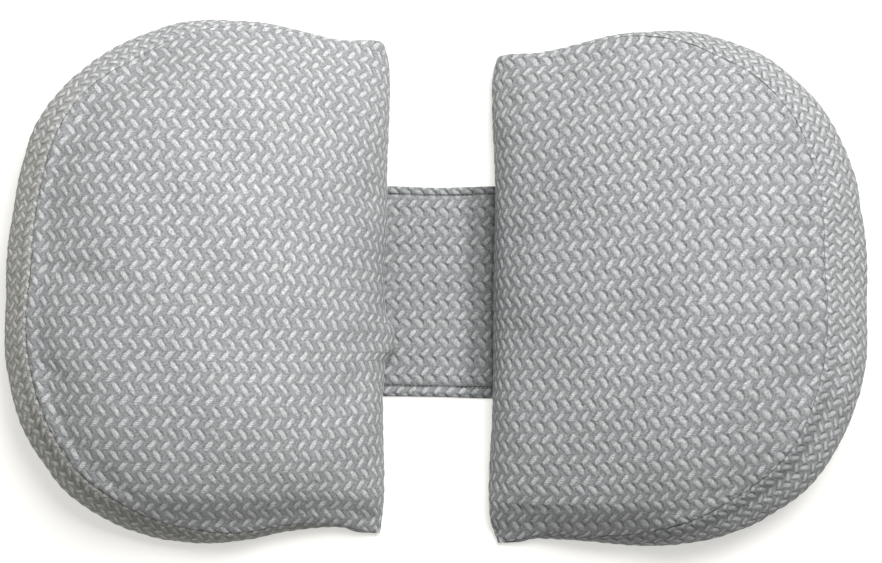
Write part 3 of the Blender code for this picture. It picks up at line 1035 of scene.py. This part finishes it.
def make_strap(settings):
    """Two layers of cloth, flat underneath, with a rolled rim outside each row of topstitching."""
    name = "bridge_strap_cloth"
    width = STRAP_Y[1] - STRAP_Y[0]
    body = width - 2 * RIM_WIDTH
    steps = (STRAP_X[1] - STRAP_X[0]) / STRAP_REPEAT[0] * MESH_COLUMNS
    lengths = np.linspace(*STRAP_X, round(steps) + 1)
    section_at, section_up = np.array(STRAP_SECTION).T
    middle = np.linspace(RIM_WIDTH, width - RIM_WIDTH, round(body / STRAP_REPEAT[1] * MESH_ROWS))
    middle = middle[middle > RIM_WIDTH * LOW_RIM]
    rim = np.unique(np.concatenate([section_at, np.linspace(0, RIM_WIDTH, RIM_STEPS)]))
    across = np.unique(np.concatenate([rim * LOW_RIM, middle, width - rim]).round(6))
    inwards = np.minimum(across / LOW_RIM, width - across)
    x, place = np.meshgrid(lengths, across, indexing="ij")
    low, high = strap_edges(x)
    y = low + (high - low) * place / width
    cloth = np.stack([x - STRAP_START, place - width / 2], -1) / np.array(STRAP_REPEAT)
    cloth += np.array(settings.phase)
    shown = grown(x, STRAP_RELIEF[0]) * grown(x, STRAP_RELIEF[1])
    free = grown(np.minimum(place, width - place), BODY_FROM_EDGE)
    z = np.interp(inwards, section_at, section_up) + shown * free * waves(STRAP_WAVES, x, y)
    z += settings.strap_relief * raised(cloth, STRAP_PUFF) * shown * (inwards > FLAT_EDGE)
    top = np.stack([x, y, z], -1)
    foot = top[:, [0, -1]] * (1, 1, 0)
    points = np.concatenate([top.reshape(-1, 3), foot.reshape(-1, 3)])
    grid = np.arange(x.size).reshape(x.shape)
    feet = np.arange(2 * len(lengths)).reshape(-1, 2) + x.size
    sides = [np.stack([grid[:, side], feet[:, side]], 1) for side in (0, -1)]
    faces = [quads_of(part).reshape(-1, 4) for part in (grid, feet, *sides)]
    faces = np.concatenate(faces).tolist()
    faces += [grid[end].tolist() + feet[end, ::-1].tolist() for end in (0, -1)]
    mesh = smooth_mesh(name, points, faces)
    layer = mesh.uv_layers.new(name=CLOTH_MAP)
    flat = np.concatenate([cloth.reshape(-1, 2), cloth[:, [0, -1]].reshape(-1, 2)])
    loops = np.empty(len(mesh.loops), int)
    mesh.loops.foreach_get("vertex_index", loops)
    layer.uv.foreach_set("vector", flat[loops].astype(np.float32).ravel())
    gap = np.full(len(points), FAR_GAP)
    gap[: x.size] = np.broadcast_to(np.abs(inwards - STITCH_INSET) * 1000, x.shape).ravel()
    point_values(mesh, SEAM_GAP, gap)
    point_values(mesh, SEAM_SHADE, np.full(len(points), STRAP_SEAM_SHADE))
    point_values(mesh, CONTACT, grown(points[:, 0], CONTACT_FROM))
    return in_scene(name, mesh)


def make_stitches(settings):
    """The two rows of topstitching, one short thread after another."""
    name = "strap_topstitching"
    pitch = settings.stitch_pitch
    share = np.linspace(0, 1, STITCH_RINGS)[:, None]
    arch = np.abs(np.sin(math.pi * share))
    thick = STITCH_RADIUS * (STITCH_END + (1 - STITCH_END) * arch**0.5)
    turn = 2 * math.pi * np.arange(STITCH_SIDES) / STITCH_SIDES
    count = int((STRAP_X[1] - STRAP_X[0] - 2 * STITCH_MARGIN) / pitch)
    rows = []
    for row, inset in enumerate((STITCH_INSET * LOW_RIM, -STITCH_INSET)):
        start = STRAP_X[0] + STITCH_MARGIN + pitch * (np.arange(count) + STITCH_SHIFT * row)
        x = start[:, None, None] + STITCH_SHARE * pitch * share
        y = strap_edges(x)[row] + inset + thick * np.cos(turn)
        up = STITCH_UP[0] + STITCH_UP[1] * arch + thick * np.sin(turn)
        rows.append(np.stack(np.broadcast_arrays(x, y, up), -1).reshape(-1, 3))
    points = np.concatenate(rows)
    rings = np.arange(len(points)).reshape(-1, STITCH_RINGS, STITCH_SIDES)
    faces = rings[:, [0, -1]].reshape(-1, STITCH_SIDES).tolist()
    for thread in rings:
        faces += quads_of(np.concatenate([thread, thread[:, :1]], 1)).reshape(-1, 4).tolist()
    return in_scene(name, smooth_mesh(name, points, faces))


# ---------------------------------------------------------------- cloth material

WEAVE_INPUTS = (("Puff", 1.0), ("Thread Rise", 0.40), ("Yarn Rise", 0.09), ("Ground Rise", 0.16))
WEAVE_OUTPUTS = ("Thread", "Yarn", "Hollow", "Fleck", "Height")
HOLLOW_RISE = -0.30
WANDER = 0.12  # how far the threads stray, in repeats
THREAD_EDGE = (-0.10, 0.85)  # how softly a thread's mask sets in
TWIST_LEAN = (0.85, 0.6)  # slant of the yarn's twist, along and across a thread
HOLLOW_AT, HOLLOW_NARROW = 1.15, 2.2  # place and narrowness of the hollow beside a thread

PATCHES, SPECKS, SEAM_SHADE_NOISE = 14.0, 620.0, 60.0  # scales of the slow noise, the fine noise and the noise in the seam's painted shade
PALE_SHARE = 0.4  # what the flecks of the ground hold of the threads' colour
WARM_FROM = (0.05, 0.26)  # metres towards the warm side between which the warm light grows
WARM_TINT = (1.03, 1.0, 0.92, 1)
WARM_FLAT = -0.2  # the threads stand out this much less there
PULLED_LIGHT = 0.08  # the strip is drawn this much lighter
NEAR_SHADE_FROM, NEAR_SHADE = (0.150, 0.200), 0.10  # painted shade of the near rims: metres towards -y, and share
BAND_SHADE_FROM, BAND_SHADE = (0.04, 0.13), 0.25  # the same for the painted shade along the seam
BAND_SHADE_GAP = (20.0, 8.0)  # mm from the seam, for that painted shade
LINE_GAP, CRISP_GAP = (0.60, 0.12), (0.85, 0.35)  # mm from the seam over which its painted shade grows: the faint line everywhere, and the strong one where it shows
CONTACT_DIM = -0.40


class Chart:
    """Adds nodes to a tree, from short calls."""

    def __init__(self, tree):
        self.tree = tree

    def node(self, kind, *values, **settings):
        """A node with its settings made and its first inputs fed."""
        node = self.tree.nodes.new(kind)
        for name, value in settings.items():
            setattr(node, name, value)
        for socket, value in zip(node.inputs, values):
            self.feed(socket, value)
        return node

    def feed(self, socket, value):
        if isinstance(value, bpy.types.NodeSocket):
            self.tree.links.new(value, socket)
        else:
            socket.default_value = value

    def feed_all(self, node, values):
        for name, value in values.items():
            self.feed(node.inputs[name], value)

    def math(self, operation, *values, clamp=False):
        return self.node("ShaderNodeMath", *values, operation=operation, use_clamp=clamp).outputs[0]

    def times(self, result, *values):
        for value in values:
            result = self.math("MULTIPLY", result, value)
        return result

    def linear(self, value, slope, start):
        return self.math("MULTIPLY_ADD", value, slope, start)

    def vector(self, operation, *values, scale=None):
        node = self.node("ShaderNodeVectorMath", *values, operation=operation)
        if scale is not None:
            self.feed(node.inputs["Scale"], scale)
        return node.outputs["Value" if operation == "DOT_PRODUCT" else "Vector"]

    def between(self, value, low, high):
        """Eased from 0 at low to 1 at high."""
        node = self.node("ShaderNodeMapRange", value, low, high, interpolation_type="SMOOTHSTEP")
        return node.outputs["Result"]

    def mix(self, factor, one, other):
        node = self.node("ShaderNodeMix", data_type="RGBA")
        self.feed_all(node, {"Factor": factor, "A": one, "B": other})
        return node.outputs["Result"]

    def noise(self, where, scale, detail=2.0, roughness=0.5):
        node = self.node("ShaderNodeTexNoise")
        values = {"Vector": where, "Scale": scale, "Detail": detail, "Roughness": roughness}
        self.feed_all(node, values)
        return node.outputs

    def attribute(self, name):
        return self.node("ShaderNodeAttribute", attribute_name=name).outputs["Fac"]


def herringbone_group():
    """Raised herringbone: from cloth coordinates in repeats to masks and a height in mm."""
    group = bpy.data.node_groups.new(WEAVE, "ShaderNodeTree")
    face = group.interface
    face.new_socket("Cloth", in_out="INPUT", socket_type="NodeSocketVector")
    for name, value in WEAVE_INPUTS:
        socket = face.new_socket(name, in_out="INPUT", socket_type="NodeSocketFloat")
        socket.default_value = value
    for name in WEAVE_OUTPUTS:
        face.new_socket(name, in_out="OUTPUT", socket_type="NodeSocketFloat")
    chart = Chart(group)
    ends = group.nodes.new("NodeGroupInput")
    out = group.nodes.new("NodeGroupOutput")
    cloth, puff = ends.outputs["Cloth"], ends.outputs["Puff"]
    size = (REPEAT[0] * 1000, REPEAT[1] * 1000, 0)
    in_mm = chart.vector("MULTIPLY", cloth, size)
    wander = chart.noise(in_mm, 0.21, 1.0)
    drift = chart.vector("SUBTRACT", wander["Color"], (0.5, 0.5, 0.5))
    drift = chart.vector("SCALE", drift, scale=WANDER)
    uneven = chart.linear(chart.noise(in_mm, 0.55, 2.0, 0.6)["Fac"], 1.3, -0.65)
    patchy = chart.linear(wander["Fac"], 0.7, 0.65)
    threads, heights, yarns, hollows = [], [], [], []
    for thread in THREADS.values():
        # The place in a thread's own repeat, in mm along it and aside from it.
        away = chart.vector("SUBTRACT", cloth, (*thread["middle"], 0))
        away = chart.vector("ADD", chart.vector("ADD", away, drift), (0.5, 0.5, 0))
        away = chart.vector("SUBTRACT", chart.vector("FRACTION", away), (0.5, 0.5, 0))
        away = chart.vector("MULTIPLY", away, size)
        turn = math.radians(thread["turn"])
        along_mm = chart.vector("DOT_PRODUCT", away, (math.cos(turn), math.sin(turn), 0))
        aside_mm = chart.vector("DOT_PRODUCT", away, (-math.sin(turn), math.cos(turn), 0))
        along = chart.times(along_mm, 2 / thread["length"])
        bow = chart.times(puff, thread["bow"])
        bend = chart.times(chart.linear(chart.times(along, along), -1.0, 1.0), bow)
        width = chart.linear(puff, thread["puffed width"] / 2, thread["width"] / 2)
        aside = chart.math("DIVIDE", chart.math("SUBTRACT", aside_mm, bend), width)
        ends_off = chart.math("POWER", chart.math("ABSOLUTE", along), ROUND_END)
        left = chart.math("SUBTRACT", 1.0, chart.linear(aside, aside, ends_off))
        left = chart.math("MULTIPLY_ADD", uneven, 0.5, left, clamp=True)
        # A full thread is brightest along the side on which it bulges.
        slant = chart.math("SUBTRACT", chart.between(aside, -1.5, 0.5), 1.0)
        mask = chart.times(chart.between(left, *THREAD_EDGE), chart.linear(slant, bow, 1.0))
        heights.append(chart.times(chart.math("POWER", left, 0.7), thread["proud"]))
        twist = chart.linear(along_mm, TWIST_LEAN[0], chart.times(aside_mm, TWIST_LEAN[1]))
        twist = chart.math("SINE", chart.times(twist, 2 * math.pi / thread["twist"]))
        yarns.append(chart.times(twist, mask))
        beside = chart.linear(aside, HOLLOW_NARROW, -HOLLOW_AT * HOLLOW_NARROW)
        full = chart.math("ADD", chart.linear(beside, beside, ends_off), uneven)
        hollow = chart.math("SUBTRACT", 1.0, full, clamp=True)
        depth = chart.linear(puff, thread["puffed hollow"], thread["hollow"])
        hollows.append(chart.times(hollow, depth))
        light = chart.linear(puff, thread["puffed light"], thread["light"])
        threads.append(chart.times(mask, light, patchy))
    thread = chart.math("MAXIMUM", *threads)
    yarn = chart.math("ADD", *yarns)
    between = chart.math("SUBTRACT", 1.0, chart.math("MINIMUM", thread, 1.0))
    hollow = chart.times(chart.math("MAXIMUM", *hollows), between)
    fleck = chart.noise(chart.vector("MULTIPLY", in_mm, (0.36, 1.0, 1.0)), 1.0, 3.0, 0.75)["Fac"]
    height = chart.times(hollow, HOLLOW_RISE)
    for part, rise in (
        (chart.math("MAXIMUM", *heights), "Thread Rise"),
        (yarn, "Yarn Rise"),
        (chart.times(chart.math("SUBTRACT", fleck, 0.5), between), "Ground Rise"),
    ):
        height = chart.linear(part, ends.outputs[rise], height)
    chart.feed_all(out, dict(zip(WEAVE_OUTPUTS, (thread, yarn, hollow, fleck, height))))
    return group


def cloth_material(name, cloth, puff, tone):
    """Mid-grey ground, lighter raised threads, and painted shade in the hollows beside them."""
    material = bpy.data.materials.new(name)
    material.use_nodes = True
    chart = Chart(material.node_tree)
    where = chart.node("ShaderNodeUVMap", uv_map=CLOTH_MAP)
    group = bpy.data.node_groups.get(WEAVE) or herringbone_group()
    weave = chart.node("ShaderNodeGroup", node_tree=group)
    chart.feed_all(weave, {"Cloth": where.outputs["UV"], "Puff": puff})
    weave = weave.outputs
    seam_gap, shade_share = chart.attribute(SEAM_GAP), chart.attribute(SEAM_SHADE)
    pulled, contact = chart.attribute(PULLED), chart.attribute(CONTACT)
    place = chart.node("ShaderNodeTexCoord").outputs["Object"]

    fleck = chart.times(chart.between(weave["Fleck"], 0.30, 0.70), 0.8)
    pale = Vector(cloth.ground).lerp(Vector(cloth.light), PALE_SHARE)
    colour = chart.mix(fleck, (*cloth.ground, 1), (*pale, 1))
    # Painted shade in the hollows beside the raised threads.
    colour = chart.mix(chart.times(weave["Hollow"], 0.9), colour, (*cloth.hollow_shade, 1))
    # The rims towards -x and -y catch the warm light that comes back off the floor.
    outwards = chart.vector("DOT_PRODUCT", place, (-0.8, -0.6, 0))
    warm = chart.times(chart.between(outwards, *WARM_FROM), pulled)
    yarn = chart.linear(weave["Yarn"], 0.10, 0.90)
    thread = chart.times(weave["Thread"], yarn, chart.linear(warm, WARM_FLAT, 1.0))
    colour = chart.mix(thread, colour, (*cloth.light, 1))
    tint = chart.mix(warm, (1, 1, 1, 1), WARM_TINT)

    patchy = chart.linear(chart.noise(place, PATCHES, 2.0, 0.6)["Fac"], 0.20, 0.90)
    speck = chart.times(chart.noise(place, SPECKS, 3.0, 0.75)["Fac"], 2.0)
    # Painted shade: the near rims are darker, and so is the upper half of the strip there.
    near = chart.vector("DOT_PRODUCT", place, (0, -1, 0))
    rim_shade = chart.times(chart.between(near, *NEAR_SHADE_FROM), NEAR_SHADE)
    seam_band_shade = chart.times(chart.between(seam_gap, *BAND_SHADE_GAP), pulled, chart.between(near, *BAND_SHADE_FROM))
    rim_shade = chart.math("SUBTRACT", 1.0, chart.linear(seam_band_shade, BAND_SHADE, rim_shade))
    # The seam's groove is drawn as a dark line of painted shade, uneven along it.
    line_noise = chart.between(chart.noise(place, SEAM_SHADE_NOISE, 1.0)["Fac"], 0.35, 0.65)
    line = chart.times(chart.between(seam_gap, *LINE_GAP), chart.linear(line_noise, 0.4, 0.15))
    crisp = chart.times(chart.between(seam_gap, *CRISP_GAP), chart.linear(line_noise, 0.55, 0.45))
    line = chart.math("MAXIMUM", line, chart.times(crisp, shade_share))
    shade = chart.times(
        patchy, tone, speck, rim_shade,
        chart.linear(pulled, PULLED_LIGHT, 1.0),
        chart.linear(line, -1.0, 1.0),
        chart.linear(contact, CONTACT_DIM, 1.0),
    )
    colour = chart.vector("SCALE", chart.vector("MULTIPLY", colour, tint), scale=shade)

    bump = chart.node("ShaderNodeBump")
    chart.feed_all(bump, {"Distance": 0.001, "Strength": 1.0, "Height": weave["Height"]})
    chart.feed_all(material.node_tree.nodes["Principled BSDF"], {
        "Base Color": colour,
        "Roughness": chart.linear(weave["Thread"], -0.12, cloth.roughness),
        "Specular IOR Level": 0.25,
        "Sheen Weight": 0.08,
        "Sheen Roughness": 0.6,
        "Normal": bump.outputs["Normal"],
    })
    return material


def plain_material(name, colour, roughness, glow=0.0):
    material = bpy.data.materials.new(name)
    material.use_nodes = True
    Chart(material.node_tree).feed_all(material.node_tree.nodes["Principled BSDF"], {
        "Base Color": (*colour, 1),
        "Roughness": roughness,
        "Emission Color": (*colour, 1),
        "Emission Strength": glow / max(colour),
    })
    return material


# ---------------------------------------------------------------- stage

FLOOR_SIZE = 6.0
FLOOR_UP = -0.0002  # just clear of the undersides
FLOOR_GLOW = 0.52
CAMERA_AIM = (0.0046, -0.0032, 0.040)
LIGHT_AIM = (0, 0, 0.04)
# Name, place, size and share of the key light's strength.
LIGHTS = (("key", (0.42, 0.70, 1.60), 0.9, 1.0), ("fill", (-0.7, 0.3, 1.9), 1.4, 0.16))

# ---------------------------------------------------------------- settings


class PillowSewing(bpy.types.PropertyGroup):
    """Sizes of the seams and of the cloth's relief"""

    relief: FloatProperty(
        name="Cushion relief", description="How far the raised threads stand off the cushions",
        default=0.00055, min=0, max=0.002, unit="LENGTH", precision=5,
    )
    strap_relief: FloatProperty(
        name="Strap relief", description="How far the raised threads stand off the strap",
        default=0.00045, min=0, max=0.002, unit="LENGTH", precision=5,
    )
    seam_depth: FloatProperty(
        name="Seam depth", description="How deep the upper seam is drawn in",
        default=0.0012, min=0, max=0.006, unit="LENGTH", precision=5,
    )
    seam_width: FloatProperty(
        name="Seam width", description="Half width of the seam's groove",
        default=0.0012, min=0.0003, max=0.004, unit="LENGTH", precision=5,
    )
    seam_roll: FloatProperty(
        name="Seam roll", description="How far the filling swells beside the seam",
        default=0.0006, min=0, max=0.003, unit="LENGTH", precision=5,
    )
    stitch_pitch: FloatProperty(
        name="Stitch length", description="From one topstitch of the strap to the next",
        default=0.0034, min=0.001, max=0.008, unit="LENGTH", precision=5,
    )
    phase: FloatVectorProperty(
        name="Strap repeat start", description="Where the strap's repeat starts, in repeats",
        size=2, default=(0.0, 0.29),
    )


class PillowCloth(bpy.types.PropertyGroup):
    """Colours of the cloth"""

    ground: FloatVectorProperty(
        name="Ground", description="Flat ground of the cloth",
        subtype="COLOR", default=(0.212, 0.220, 0.225), min=0, max=1,
    )
    light: FloatVectorProperty(
        name="Threads", description="Raised threads",
        subtype="COLOR", default=(0.535, 0.543, 0.543), min=0, max=1,
    )
    # colour of the painted shade in the hollows beside the raised threads
    hollow_shade: FloatVectorProperty(
        name="Hollows", description="Hollows beside the raised threads",
        subtype="COLOR", default=(0.070, 0.074, 0.078), min=0, max=1,
    )
    roughness: FloatProperty(
        name="Roughness", description="Of the ground", default=0.92, min=0, max=1,
    )


class PillowStage(bpy.types.PropertyGroup):
    """Camera, floor and light"""

    distance: FloatProperty(
        name="Camera distance", description="From the camera to the middle of the pillow",
        default=1.35, min=0.3, max=5, unit="LENGTH",
    )
    tilt: FloatProperty(
        name="Camera tilt", description="Off straight down, towards the near side",
        default=math.radians(6.0), subtype="ANGLE",
    )
    lens: FloatProperty(
        name="Lens", description="Focal length in mm on a 36 mm frame",
        default=71.55, min=10, max=300,
    )
    key: FloatProperty(
        name="Key light", description="Strength of the window light from the far side",
        default=46.0, min=0, max=500,
    )
    surround: FloatProperty(
        name="Surround", description="Strength of the even light from all round",
        default=0.18, min=0, max=5,
    )
    floor: FloatVectorProperty(
        name="Floor", description="Colour of the floor",
        subtype="COLOR", default=(0.47, 0.466, 0.448), min=0, max=1,
    )


class PillowSettings(bpy.types.PropertyGroup):
    """All settings of the pillow"""

    sewing: PointerProperty(type=PillowSewing)
    cloth: PointerProperty(type=PillowCloth)
    stage: PointerProperty(type=PillowStage)


def settings_of(context):
    return context.scene.body_pillow


# ---------------------------------------------------------------- operators and panel


class PILLOW_OT_cushions(bpy.types.Operator):
    """Sew and fill the two wedge cushions"""

    bl_idname = "pillow.cushions"
    bl_label = "Make cushions"

    def execute(self, context):
        settings = settings_of(context)
        for name, sizes in CUSHIONS.items():
            cushion = make_cushion(name, settings.sewing)
            puff, tone = sizes["puff"], sizes["tone"]
            material = cloth_material(name + " cloth", settings.cloth, puff, tone)
            cushion.data.materials.append(material)
            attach(cushion, "root")
            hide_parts(name)
        return {"FINISHED"}


class PILLOW_OT_strap(bpy.types.Operator):
    """Make the strap and its topstitching"""

    bl_idname = "pillow.strap"
    bl_label = "Make strap"

    def execute(self, context):
        settings = settings_of(context)
        strap = make_strap(settings.sewing)
        material = cloth_material("strap cloth", settings.cloth, STRAP_PUFF, STRAP_TONE)
        strap.data.materials.append(material)
        stitches = make_stitches(settings.sewing)
        stitches.data.materials.append(plain_material("grey sewing thread", STITCH_COLOUR, 0.7))
        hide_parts("bridge_strap")
        for piece in (strap, stitches):
            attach(piece, "root")
        return {"FINISHED"}


class PILLOW_OT_stage(bpy.types.Operator):
    """Set up the camera, the floor and the light"""

    bl_idname = "pillow.stage"
    bl_label = "Set stage"

    def execute(self, context):
        stage = settings_of(context).stage
        scene = context.scene
        scene.view_settings.view_transform = "Standard"
        bpy.ops.mesh.primitive_plane_add(size=FLOOR_SIZE, location=(0, 0, FLOOR_UP))
        floor = context.object
        floor.name = "floor"
        floor.data.materials.append(plain_material("pale floor", stage.floor, 0.9, FLOOR_GLOW))

        camera = bpy.data.cameras.new("camera")
        camera.lens = stage.lens
        camera.sensor_width = 36.0
        camera.clip_start = 0.05
        eye = in_scene("camera", camera)
        turn = Euler((stage.tilt, 0, 0))
        eye.rotation_euler = turn
        eye.location = Vector(CAMERA_AIM) + turn.to_matrix() @ Vector((0, 0, stage.distance))
        scene.camera = eye

        for name, place, size, share in LIGHTS:
            lamp = bpy.data.lights.new(name, "AREA")
            lamp.shape = "SQUARE"
            lamp.size = size
            lamp.energy = stage.key * share
            light = in_scene(name, lamp)
            light.location = place
            way = Vector(LIGHT_AIM) - light.location
            light.rotation_euler = way.to_track_quat("-Z", "Y").to_euler()
        world = bpy.data.worlds.new("studio")
        world.use_nodes = True
        background = world.node_tree.nodes["Background"]
        background.inputs["Color"].default_value = (1.0, 1.0, 1.0, 1)
        background.inputs["Strength"].default_value = stage.surround
        scene.world = world
        return {"FINISHED"}


class PILLOW_PT_panel(bpy.types.Panel):
    bl_label = "Body pillow"
    bl_idname = "PILLOW_PT_panel"
    bl_space_type = "VIEW_3D"
    bl_region_type = "UI"
    bl_category = "Pillow"

    def draw(self, context):
        settings = settings_of(context)
        for title, group, operator in (
            ("Cushions and seams", settings.sewing, PILLOW_OT_cushions.bl_idname),
            ("Cloth", settings.cloth, PILLOW_OT_strap.bl_idname),
            ("Stage", settings.stage, PILLOW_OT_stage.bl_idname),
        ):
            box = self.layout.box()
            box.label(text=title)
            for name in group.bl_rna.properties.keys():
                if name not in ("rna_type", "name"):
                    box.prop(group, name)
            box.operator(operator)


CLASSES = (
    PillowSewing,
    PillowCloth,
    PillowStage,
    PillowSettings,
    PILLOW_OT_cushions,
    PILLOW_OT_strap,
    PILLOW_OT_stage,
    PILLOW_PT_panel,
)


def register():
    for entry in CLASSES:
        bpy.utils.register_class(entry)
    bpy.types.Scene.body_pillow = PointerProperty(type=PillowSettings)


def unregister():
    del bpy.types.Scene.body_pillow
    for entry in reversed(CLASSES):
        bpy.utils.unregister_class(entry)


def main():
    register()
    bpy.ops.pillow.cushions()
    bpy.ops.pillow.strap()
    bpy.ops.pillow.stage()


if __name__ == "__main__":
    main()
